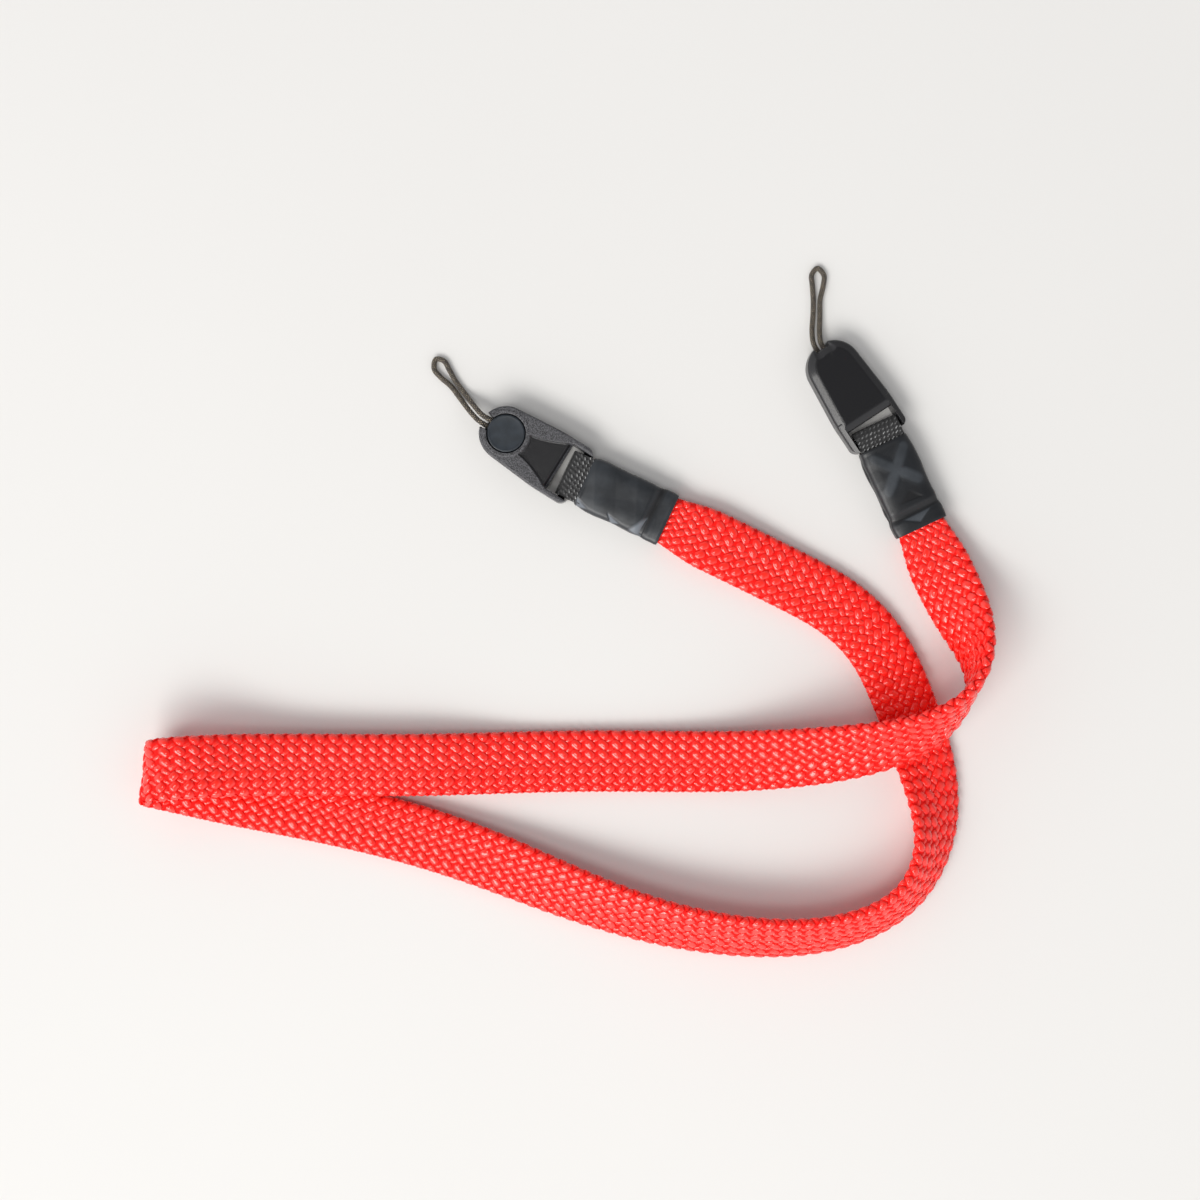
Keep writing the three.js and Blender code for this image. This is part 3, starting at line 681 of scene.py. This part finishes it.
def ridge(x, y, line, width, height):
    """A soft ridge along a line between two points: full height up to half the width from the
    line, and nothing from twice the width on."""
    ax, ay, bx, by = line
    dx, dy = bx - ax, by - ay
    t = np.clip(((x - ax) * dx + (y - ay) * dy) / (dx * dx + dy * dy), 0, 1)
    gap = np.hypot(x - ax - t * dx, y - ay - t * dy)
    return height * smooth((2 - gap / width) / 1.5)


def folded_plates(x, y, seed):
    """The film's flat facets: three zigzag waves in different directions, added."""
    chance = np.random.default_rng(seed)
    total = 0 * x
    for wave in (8.0, 11.0, 15.0):
        way, start = chance.uniform(0, np.pi), chance.uniform(0, wave)
        total = total + np.abs(((x * np.cos(way) + y * np.sin(way) + start) / wave) % 2 - 1) - 0.5
    return total


def pressed(x, y, corners, depth):
    """A three-cornered dent. The first two corners stay level and the third goes down by depth;
    the share of each corner is its barycentric weight. Returns the drop and where the dent is."""
    (ax, ay), (bx, by), (cx, cy) = corners
    whole = (bx - ax) * (cy - ay) - (cx - ax) * (by - ay)
    third = ((bx - ax) * (y - ay) - (x - ax) * (by - ay)) / whole
    second = ((x - ax) * (cy - ay) - (cx - ax) * (y - ay)) / whole
    inside = smooth(np.minimum.reduce([third, second, 1 - third - second]) * 9 + 0.5)
    return depth * np.clip(third, 0, 1.2) * inside, inside * smooth(third * 3)


STITCHED_BOX = (17.5, 31, 6.3)  # mm: from, to, half width
SLEEVE_FACETS = {"a": 11, "b": 4}
# Sleeve B's film is painted darker than A's, painted shade
SLEEVE_PAINTED_SHADE = {"a": 0, "b": 0.16}  # how much darker than the pale film of A
# Dents where the film was pressed in: corners as x and y in mm, depth in mm, and how pale they are
# painted, a painted highlight (below 0 a painted shade)
DENTS = {
    "a": [(((12.9, 9.6), (7.2, 0.4), (6.8, 10.2)), 1.3, 0.75),
          (((22.4, 7.0), (15.8, 9.2), (19.4, 10.3)), 1.2, 0.6),
          (((35.0, 6.4), (29.2, 9.2), (33.8, 10.3)), 1.2, 0.55)],
    "b": [(((6.5, -7.5), (6.5, 7.5), (2.2, 0)), 0.35, 0.3),
          (((15.5, 0.5), (11.5, -5.5), (10.8, 4.8)), 0.2, -0.2),
          (((22.0, 9.6), (13.0, 9.9), (17.0, 10.4)), 0.9, 0.3)],
}


def sleeve(end):
    """Rings from the mouth to the webbing and back inside, every 0.25 mm outside and every 5 mm
    inside. The outside's half width and half height follow a table of distances from the mouth;
    relief is added along z on both faces."""
    x = np.linspace(0, SLEEVE_LENGTH, 141)
    half_w = np.interp(x, [0, 0.5, 5.0, 7.2, 10.5, 20, 30, 34.6, 35],
                       [10.25, 10.5, 10.5, 10.0, 10.3, 10.1, 10.4, 9.75, 9.5])
    half_h = np.interp(x, [0, 0.5, 4.8, 6.6, 9.2, 14, 30, 34.6, 35],
                       [3.35, 3.65, 3.7, 3.2, 4.6, 4.75, 4.75, 4.7, 4.5])
    half_w, half_h = (np.convolve(np.pad(h, 2, "edge"), np.ones(5) / 5, "valid")
                      for h in (half_w, half_h))
    _, cx, cy, _, _ = (row[:-1] for row in flat_tube_table(4.5, 10.3, 4.7, 132))
    y = half_w[:, None] * cx
    z = half_h[:, None] * cy
    px = x[:, None] + 0 * y
    shown = np.where(end.front * z > 0, 1, 0.15)  # the face that lay against the sewing shows more
    near, far, side = STITCHED_BOX
    cross = np.maximum(ridge(px, y, (near, -side, far, side), 1.8, 1),
                       ridge(px, y, (near, side, far, -side), 1.8, 1))
    frame_lines = np.maximum.reduce([
        ridge(px, y, line, 0.6, 0.12) for line in (
            (near, -side, near, side), (far, -side, far, side),
            (near, -side, far, -side), (near, side, far, side))])
    sewn = np.maximum(cross, frame_lines) * shown * (1 if end.name == "b" else 0.05)
    plates = folded_plates(px, y + 40 * (z > 0), SLEEVE_FACETS[end.name])
    on_film = smooth((px - 1) / 2) * smooth((34.5 - px) / 1.5)
    crease = smooth(1 - np.abs(px - 6.9 - 0.06 * y) / 1.9)
    # Painted sheen and shade: lighter on the stitched cross and raised facets, darker in the crease
    painted_sheen_and_shade = 0.24 * sewn + 0.05 * plates - 0.35 * crease - SLEEVE_PAINTED_SHADE[end.name]
    drop = 0 * px
    for corners, depth, pale in DENTS[end.name]:
        down, inside = pressed(px, y, corners, depth)
        drop = drop + down * shown
        # A dent is also painted paler, a painted highlight
        painted_sheen_and_shade = painted_sheen_and_shade + pale * inside * shown
    relief = (0.14 * sewn - 0.14 + 0.2 * plates) * on_film - drop
    z = z + np.sign(z) * relief * np.minimum(1, np.abs(cy) * 1.2) ** 2
    outer = np.stack([px, y + 0.25 * np.sign(y) * plates * on_film * np.abs(cx) ** 4, z], -1)
    inner = (outer * [1, 0.93, 0.8])[::-20]
    points = np.concatenate([outer, inner])[None] * MM
    along = np.concatenate([x, SLEEVE_LENGTH + 5 * np.arange(len(inner))])[None] * MM
    painted_sheen_and_shade = np.concatenate([painted_sheen_and_shade, 0 * inner[..., 0]])
    piece = skin(f"shrunk_sleeve_{end.name}", end.from_mouth(points), along,
                 np.linspace(0, 60 * MM, len(cx) + 1), loop=True, extra={"painted_sheen_and_shade": painted_sheen_and_shade})
    finish_piece(piece, sleeve_finish, "sleeve", f"sleeve_{end.name}")


for end in ENDS:
    sleeve(end)

# %% [markdown]
# The webbing is a narrow black ribbon, woven thick, that goes round the housing's bar and back into
# the sleeve. Under 9 mm of it shows, with cross ribs and small light dashes. It is one flat tube
# carried along the folded line.

# %% Woven webbing: polyester, woven
webbing_finish, tree, out = new_material("polyester_woven_webbing")
uv = add(tree, "ShaderNodeUVMap", uv_map="UVMap").outputs["UV"]
near_sleeve = add(tree, "ShaderNodeAttribute", attribute_name="near_sleeve").outputs["Fac"]
# The dashes lean to one side, as in a twill
leaning = add(tree, "ShaderNodeMapping", {"Vector": uv, "Rotation": (0, 0, 0.6)})
speck, weave = light_yarns(tree, leaning.outputs["Vector"], 2.0 * MM, 2.8 * MM, 0.84, 0.1)
speck = maths(tree, "MULTIPLY", speck, near_sleeve)
colour = ramp(tree, speck, [(0.05, "#1f1f20"), (0.9, "#b3b4b5")])
surface(tree, out, {"Base Color": colour, "Roughness": 0.6, "Sheen Weight": 0.2,
                    "Normal": bumpy(tree, weave, 0.8, 0.2 * MM)})

LAYERS_APART = 2.8  # mm from the middle to each of the two layers, inside the sleeve
FOLD_RADIUS = 2.5  # mm
RIB_PERIOD = 1.6  # mm


def webbing(end):
    """A flat section with round edges, carried along the fold, with a rib every 1.6 mm."""
    fold = np.radians(np.linspace(90, -90, 40))
    upper = np.stack([np.linspace(11, SLEEVE_LENGTH, 120), np.full(120, LAYERS_APART)], 1)
    to_fold = np.stack([np.linspace(SLEEVE_LENGTH, FOLD_MIDDLE, 30)[1:-1],
                        np.linspace(LAYERS_APART, FOLD_RADIUS, 30)[1:-1]], 1)
    bend = np.stack([FOLD_MIDDLE + FOLD_RADIUS * np.cos(fold), FOLD_RADIUS * np.sin(fold)], 1)
    half = np.vstack([upper, to_fold, bend[:20]])
    line = np.vstack([half, half[::-1] * [1, -1]])
    line = np.stack([line[:, 0], 0 * line[:, 0], line[:, 1]], 1)
    line, run = resample(line, 200)
    ahead = unit(np.gradient(line, axis=0))
    out_way = np.cross(ahead, np.array([0, 1, 0]))
    t = angles(64)
    flat = 8.4 * np.clip(np.cos(t) * 1.02 * (1 + 0.25 * np.sin(t) ** 2), -1, 1)
    round_y = flat + 0.55 * np.cos(t)
    round_z = 0.62 * np.sign(np.sin(t)) * np.abs(np.sin(t)) ** 0.35
    ribs = 1 + 0.12 * np.cos(2 * np.pi * run / RIB_PERIOD)
    points = line[:, None] + (ribs[:, None] * round_z)[..., None] * out_way[:, None]
    points[..., 1] += round_y
    near_sleeve = np.interp(line[:, 0], [34, 40, 43], [1, 0.45, 0.2])[:, None] + 0 * points[..., 0]
    sides = np.hypot(*(np.diff(np.append(r, r[0])) for r in (round_y, round_z)))
    around = np.append(0, np.cumsum(sides))
    piece = skin(f"folded_webbing_{end.name}", end.from_mouth(points[None] * MM), run[None] * MM,
                 around * MM, extra={"near_sleeve": near_sleeve})
    finish_piece(piece, webbing_finish, "webbing", f"webbing_loop_{end.name}")


for end in ENDS:
    webbing(end)

# %% [markdown]
# A housing is injection-moulded plastic: a body that is round at its nose and flares to its tail, a
# pocket for the round anchor, a notch for the cord, a sunk panel like a fish tail, two arms and a
# bar. The body is a grid round the pocket's middle. Ring by ring it goes over the back, up the
# side, over the front and down into the pocket. Panel, notch and lip are heights added over the
# plan, with short S-shaped steps, so all edges are a little round.

# %% Moulded housing: glass-filled nylon
housing_finish, tree, out = new_material("moulded_glass_filled_nylon")
place = add(tree, "ShaderNodeTexCoord").outputs["Object"]
polish = add(tree, "ShaderNodeAttribute", attribute_name="polished").outputs["Fac"]
# The moulded grain is about 0.4 mm across: small bright and dark grains
grain = noise(tree, place, 2600.0, 3.0)
pit = add(tree, "ShaderNodeTexVoronoi", {"Vector": place, "Scale": 2600.0}).outputs["Distance"]
grainy = ramp(tree, grain, [(0.38, "#141416"), (0.64, "#626266")])
mixed = add(tree, "ShaderNodeMix", {"Factor": polish, 6: grainy, 7: linear("#1d1d1f")},
            data_type="RGBA")
rough = remap(tree, polish, 0.0, 1.0, 0.5, 0.27)
surface(tree, out, {"Base Color": mixed.outputs[2], "Roughness": rough,
                    "Normal": bumpy(tree, pit, 0.3, 0.05 * MM)})

# %% The housings
# In mm, from the bar: x towards the nose, y to the left, z out of the front
WINDOW_EDGE = 6.6  # where the body ends and only the arms go on
HALF_TAIL = 12.0  # half the width at the tail
NOSE_RADIUS = 10.35
CORNER_RADIUS = 1.9
EDGE_RADIUS = 0.8  # of the front's edge
POCKET_FLOOR = -0.9
PANEL_DEPTH = 1.1
LIP_START = 8.5  # from here to the window the panel curves down
ARM_TIP = 3.0  # the length of an arm's round tip
ARM_INSIDE = 9.8
BAR_RADIUS = 1.5
# The back's bevel and round edge: distances from the outline, and how far they lie over the back
BACK_BEVEL = ([0, 0.12, 0.35, 0.8, 2.7, 3.0, 3.3], [2.3, 1.85, 1.5, 1.2, 0.12, 0.03, 0])


def housing_outline():
    """The body's plan, counter-clockwise from the nose's tip: the nose's arc, the straight flare
    that touches it, the straight side, and the edge at the window."""
    nose, disc = NOSE_RADIUS, BAR_TO_DISC
    shoulder = np.array([WINDOW_EDGE + nose / 2, HALF_TAIL])
    away = shoulder - [disc, 0]
    touch = math.atan2(away[1], away[0]) - math.acos(nose / np.linalg.norm(away))
    arc = np.linspace(0, touch, 60)
    upper = np.stack([disc + nose * np.cos(arc), nose * np.sin(arc)], 1)
    bend = np.radians(np.linspace(90, 180, 12))
    corner = (np.array([WINDOW_EDGE + CORNER_RADIUS, HALF_TAIL - CORNER_RADIUS])
              + CORNER_RADIUS * np.stack([np.cos(bend), np.sin(bend)], 1))
    soft = np.linspace(0, 1, 14)[:, None]  # the shoulder is a short curve too
    flare = unit(shoulder - upper[-1])
    before, after = shoulder - 3 * flare, shoulder - [3, 0]
    bent = before * (1 - soft) ** 2 + 2 * shoulder * soft * (1 - soft) + after * soft**2
    straight = upper[-1] + (before - upper[-1]) * np.linspace(0, 1, 34)[1:-1, None]
    edge = np.stack([np.full(30, WINDOW_EDGE), np.linspace(corner[-1, 1], 0, 31)[1:]], 1)
    half = np.vstack([upper, straight, bent, corner, edge])
    return np.vstack([half, half[-2:0:-1] * [1, -1]])


def housing_body():
    """The rings of the body, from the middle of its back to the middle of its pocket."""
    outline = housing_outline()
    disc = np.array([BAR_TO_DISC, 0.0])
    # In the cord's notch the nose is 1.9 mm shorter, over its whole height
    slot = smooth((3.0 - np.abs(outline[:, 1])) / 0.4) * (outline[:, 0] > disc[0])
    outline[:, 0] -= 1.9 * slot
    way = unit(outline - disc)
    edge = np.roll(outline, -1, 0) - np.roll(outline, 1, 0)
    normal = unit(np.stack([edge[:, 1], -edge[:, 0]], 1))
    half, rim = HALF_HEIGHT, POCKET_RADIUS

    def inward(depth):
        return outline - normal * depth

    rings, heights, polished = [], [], []

    def ring(plan, z, polish=0.0):
        rings.append(plan)
        heights.append(np.full(len(outline), float(z)))
        polished.append(np.full(len(outline), polish))

    for share in np.append(np.linspace(0, 0.98, 38), np.linspace(0.985, 1, 5)):
        ring(disc + (outline - disc) * max(share, 0.002), -half, 1)
    back = slice(len(rings))
    for z in np.linspace(-half + BACK_BEVEL[1][0], half - EDGE_RADIUS, 8)[1:]:
        ring(outline, z, 0.6)
    for a in np.radians(np.linspace(0, 90, 6)[1:]):
        ring(inward(EDGE_RADIUS * (1 - math.cos(a))), half - EDGE_RADIUS * (1 - math.sin(a)))
    rimmed = disc + way * rim
    front = inward(EDGE_RADIUS)
    for share in np.linspace(0, 1, 46)[1:]:
        ring(front + (rimmed - front) * share, half)
    for z in np.linspace(half, POCKET_FLOOR, 8)[1:]:
        ring(rimmed, z)
    for share in np.linspace(1, 0, 6)[1:]:
        ring(disc + (rimmed - disc) * max(share, 0.002), POCKET_FLOOR)
    plan = np.array(rings)
    # The back has a level middle, a bevel 3 mm wide and a round edge, by the distance to the edge
    step = np.roll(outline, -1, 0) - outline
    share = ((plan[back, :, None] - outline) * step).sum(-1) / (step**2).sum(-1)
    nearest = outline + np.clip(share, 0, 1)[..., None] * step
    to_edge = np.linalg.norm(plan[back, :, None] - nearest, axis=-1).min(-1)
    z = np.array(heights)
    z[back] += np.interp(to_edge, *BACK_BEVEL)
    x, y = plan[..., 0], plan[..., 1]
    from_disc = np.hypot(x - BAR_TO_DISC, y)
    # The panel: its half width grows from the disc to the window
    panel_half = np.interp(x, [6, 8.6, 11, 14, 17, 19.5, 22, 26],
                           [9.6, 9.3, 8.1, 6.8, 5.7, 5.0, 4.6, 4.4])
    inside = (smooth((panel_half - np.abs(y)) / 0.5) * smooth((from_disc - 9.0) / 0.4)
              * smooth((26 - x) / 0.4))
    on_top = (z > half - 0.01) & (from_disc > rim + 0.01)
    z = z - np.where(on_top, PANEL_DEPTH * inside, 0)
    lip = smooth((from_disc - 7.6) / 0.2) * smooth((9.0 - from_disc) / 0.3)
    z = z + np.where(on_top, 0.12 * lip, 0)
    # The panel ends in a lip that curves down into the window
    lip_line = half - PANEL_DEPTH - 1.15 * np.maximum(LIP_START - x, 0) ** 1.2
    at_window = (x < LIP_START) & (np.abs(y) < 9.5) & (z > lip_line)
    z = np.where(at_window, lip_line + 0.04 * (z - lip_line), z)
    # The notch for the cord
    notch = smooth((2.9 - np.abs(y)) / 0.25) * smooth((x - BAR_TO_DISC) / 0.4)
    z = np.where(notch > 0, np.minimum(z, half + 1 - (half + 1 - POCKET_FLOOR) * notch), z)
    z = np.maximum(z, -half)
    return np.concatenate([plan, z[..., None]], -1), np.maximum(np.array(polished), inside * on_top)


def housing_arm(side):
    """One arm: flat sections from inside the body to its round tip."""
    straight = np.linspace(11.0, 0.8, 16)
    at_tip = 0.8 - ARM_TIP * np.sin(np.linspace(0, np.pi / 2, 12))
    x = np.concatenate([straight, at_tip[1:]])
    tip = np.clip((0.8 - x) / ARM_TIP, 0, 1)
    outer = HALF_TAIL - ARM_TIP * (1 - np.sqrt(np.maximum(1 - tip**2, 0)))
    outer = np.maximum(outer, ARM_INSIDE + 0.3)
    cx, cz = superellipse(angles(40), 6)
    y = (outer + ARM_INSIDE)[:, None] / 2 + (outer - ARM_INSIDE)[:, None] / 2 * cx
    high = HALF_HEIGHT * np.sqrt(1 - 0.12 * tip**2)
    z = high[:, None] * cz
    bevel = np.interp(HALF_TAIL - y, *BACK_BEVEL)
    return np.stack([x[:, None] + 0 * y, side * y, np.maximum(z, bevel - HALF_HEIGHT)], -1)


def housing_bar():
    """A round bar between the arms."""
    y = np.linspace(-10, 10, 5)[:, None]
    t = angles(40)[None]
    return np.stack([BAR_RADIUS * np.cos(t) + 0 * y, y + 0 * t,
                     BAR_RADIUS * np.sin(t) + 0 * y], -1)


def joined(name, pieces):
    """Several meshes as one piece."""
    bpy.ops.object.select_all(action="DESELECT")
    for piece in pieces:
        piece.select_set(True)
    bpy.context.view_layer.objects.active = pieces[0]
    bpy.ops.object.join()
    pieces[0].name = name
    return pieces[0]


def housing(end):
    """Body, arms and bar as one piece. Arms and bar are polished all round but on the front."""
    body, polished = housing_body()
    made = []
    for name, points, shine in (
            ("body", body, polished), ("arm_left", housing_arm(1), None),
            ("arm_right", housing_arm(-1), None), ("bar", housing_bar(), None)):
        rows, columns = points.shape[:2]
        shine = 1.0 * (points[..., 2] < 3.5) if shine is None else shine
        made.append(skin(f"housing_{name}_{end.name}", end.from_bar(points[None] * MM),
                         np.arange(rows)[None] * 0.5 * MM, np.linspace(0, 80 * MM, columns + 1),
                         extra={"polished": shine}))
    piece = joined(f"moulded_housing_{end.name}", made)
    finish_piece(piece, housing_finish, "housing", f"housing_{end.name}")


for end in ENDS:
    housing(end)

# %% [markdown]
# The round anchor is a plain moulded disc, smooth and a little darker and bluer than the housing.
# Its rim is rounded. A profile turned about the middle gives it, closed at both poles.

# %% Anchor disc: moulded acetal
disc_finish, tree, out = new_material("moulded_acetal")
place = add(tree, "ShaderNodeTexCoord").outputs["Object"]
cloud = noise(tree, place, 300.0, 4.0)
colour = ramp(tree, cloud, [(0.3, "#1d2329"), (0.7, "#282f37")])
rough = remap(tree, cloud, 0.0, 1.0, 0.34, 0.46)
surface(tree, out, {"Base Color": colour, "Roughness": rough})


def disc(end):
    """Rings of a profile: the flat bottom, a round edge, the rim, a round edge and the face, which
    is 0.05 mm hollow."""
    top, bottom, corner = 4.4, -0.6, 0.5
    quarter = np.radians(np.linspace(0, 90, 6))
    flat = DISC_RADIUS - corner
    r = np.concatenate([[0.01, 2, 4, flat], flat + corner * np.sin(quarter[1:]),
                        flat + corner * np.cos(quarter), [6.4, 6.2, 6.0, 4, 2, 0.01]])
    z = np.concatenate([[bottom] * 4, bottom + corner - corner * np.cos(quarter[1:]),
                        top - corner + corner * np.sin(quarter),
                        [top, top - 0.03, top - 0.05, top - 0.05, top - 0.05, top - 0.05]])
    t = angles(96)
    points = np.stack([r[:, None] * np.cos(t), r[:, None] * np.sin(t),
                       z[:, None] + 0 * t[None]], -1)
    piece = skin(f"round_anchor_{end.name}", end.from_disc(points[None] * MM),
                 np.arange(len(r))[None] * MM, np.linspace(0, 45 * MM, len(t) + 1))
    finish_piece(piece, disc_finish, "disc", f"anchor_disc_{end.name}")


for end in ENDS:
    disc(end)

# %% [markdown]
# The strap lies on a pale, warm white table under soft light from the lower left. A lamp as wide as
# a row of windows makes the shadows, and draws a streak along the lower left side of each strand. A
# small one hangs high behind the camera and puts a sheen on the level black parts. The rest is the
# pale room.

# %% The table
floor_finish, tree, out = new_material("matt_painted_board")
place = add(tree, "ShaderNodeTexCoord").outputs["Object"]
cloud = noise(tree, place, 3.0, 2.0)
colour = ramp(tree, cloud, [(0.3, "#dfdedc"), (0.7, "#e1e0de")])
surface(tree, out, {"Base Color": colour, "Roughness": 0.8})

floor_mesh = bpy.data.meshes.new("table_top")
floor_mesh.from_pydata([(-4, -4, 0), (4, -4, 0), (4, 4, 0), (-4, 4, 0)], [], [(0, 1, 2, 3)])
floor = in_scene("table_top", floor_mesh)
floor.data.materials.append(floor_finish)

# %% Lamps


def lamp(name, place, wide, high, power, colour):
    """A rectangular lamp that faces the origin, turned by the angles of its own place."""
    data = bpy.data.lights.new(name, "AREA")
    data.shape, data.size, data.size_y, data.energy = "RECTANGLE", wide, high, power
    data.color = linear(colour)[:3]
    made = in_scene(name, data)
    made.location = place
    made.rotation_euler = (math.acos(place[2] / np.linalg.norm(place)), 0,
                           math.atan2(place[1], place[0]) + math.pi / 2)


lamp("wide_window", (-1.83, -2.47, 3.08), 3.9, 1.65, 152, "#fffdf9")
lamp("ceiling_softbox", (-0.33, -0.38, 2.3), 0.66, 0.66, 9, "#fffefc")
world = bpy.data.worlds.new("pale_room")
world.use_nodes = True
# The room is bright on the lamp's side, dim on the other and dim overhead, so that level faces keep
# their full colour and only the sides of the strands turn pale
tree = world.node_tree
way = add(tree, "ShaderNodeTexCoord").outputs["Generated"]
facing = add(tree, "ShaderNodeVectorMath", {0: way, 1: (-0.58, -0.81, 0)}, operation="DOT_PRODUCT")
side_glow = remap(tree, facing.outputs["Value"], -1.0, 1.0, 0.42, 1.5)
up = add(tree, "ShaderNodeSeparateXYZ", {0: way}).outputs["Z"]
overhead = remap(tree, up, 0.6, 0.92, 1.0, 0.08)
glow = maths(tree, "MULTIPLY", side_glow, overhead)
background = tree.nodes["Background"].inputs
background["Color"].default_value = linear("#f8f8fa")
tree.links.new(glow, background["Strength"])
bpy.context.scene.world = world
bpy.context.scene.view_settings.view_transform = "Standard"
